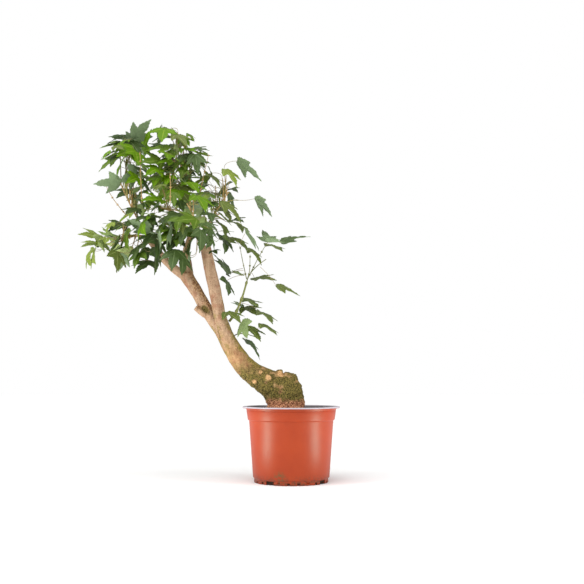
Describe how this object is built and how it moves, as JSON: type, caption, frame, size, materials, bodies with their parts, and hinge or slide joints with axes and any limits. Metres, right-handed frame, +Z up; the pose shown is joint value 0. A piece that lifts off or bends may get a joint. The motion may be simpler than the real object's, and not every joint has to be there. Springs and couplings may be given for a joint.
{
  "type": "potted trident maple with a leaning trunk",
  "caption": "Young trident maple grown on as a bonsai starter: a stumpy base, a trunk that leans and forks, and an open leafy crown, in a round plastic nursery pot.",
  "frame": {"origin": "middle of the flat underside of the pot", "axes": "+Z up; the tree leans towards -X and its front faces -Y"},
  "size_m": [0.5187, 0.3484, 0.724],
  "materials": {
    "pot_plastic": "satin terracotta-coloured plastic with a grey lip",
    "potting_soil": "dark crumbly potting mix",
    "bark": "smooth tan bark, mossy and rough at the base",
    "foliage": "green maple leaves with pale backs"
  },
  "bodies": {
    "root": {"pot": "pot_plastic", "soil": "potting_soil", "trunk": "bark", "upright_bough": "bark", "left_bough": "bark", "left_limb": "bark", "inner_limb": "bark", "side_shoot": "bark", "low_left_foliage": "foliage", "upper_left_foliage": "foliage", "top_foliage": "foliage", "middle_foliage": "foliage", "upper_right_foliage": "foliage", "right_foliage": "foliage", "side_shoot_foliage": "foliage", "back_left_foliage": "foliage", "back_right_foliage": "foliage", "front_foliage": "foliage"}
  },
  "joints": []
}
